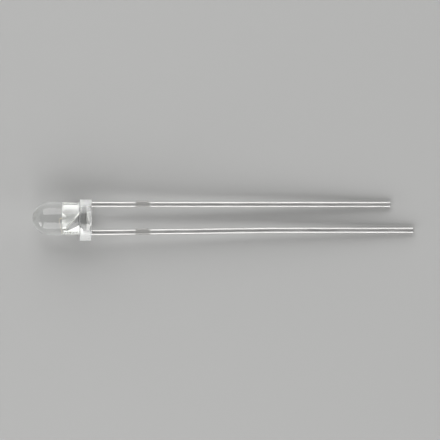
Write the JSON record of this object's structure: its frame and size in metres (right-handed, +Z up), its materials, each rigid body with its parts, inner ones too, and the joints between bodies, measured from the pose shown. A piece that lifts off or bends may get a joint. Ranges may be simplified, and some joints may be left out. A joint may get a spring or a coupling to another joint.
{
  "type": "through hole led",
  "caption": "Clear round-topped 3 mm LED with a flatted flange and two long tinned leads, lying on its flange rim and lead tips.",
  "frame": {"origin": "on the surface that the part lies on, under the middle of its box", "axes": "+X from the dome to the lead tips, +Y to the cathode and the flange's flat, +Z up"},
  "size_m": [0.0344, 0.0037, 0.004],
  "materials": {
    "clear_epoxy": "clear cast epoxy, glossy all over",
    "tinned_steel": "bright tin plating over steel, with fine drag marks along the leads",
    "semiconductor": "dark sawn semiconductor with an etched top",
    "silver_adhesive": "dull silver-filled adhesive",
    "gold": "drawn gold wire"
  },
  "bodies": {
    "root": {"lens_body": "clear_epoxy", "cathode_frame": "tinned_steel", "anode_frame": "tinned_steel", "led_chip": "semiconductor", "chip_adhesive": "silver_adhesive", "bond_wire": "gold"}
  },
  "joints": []
}
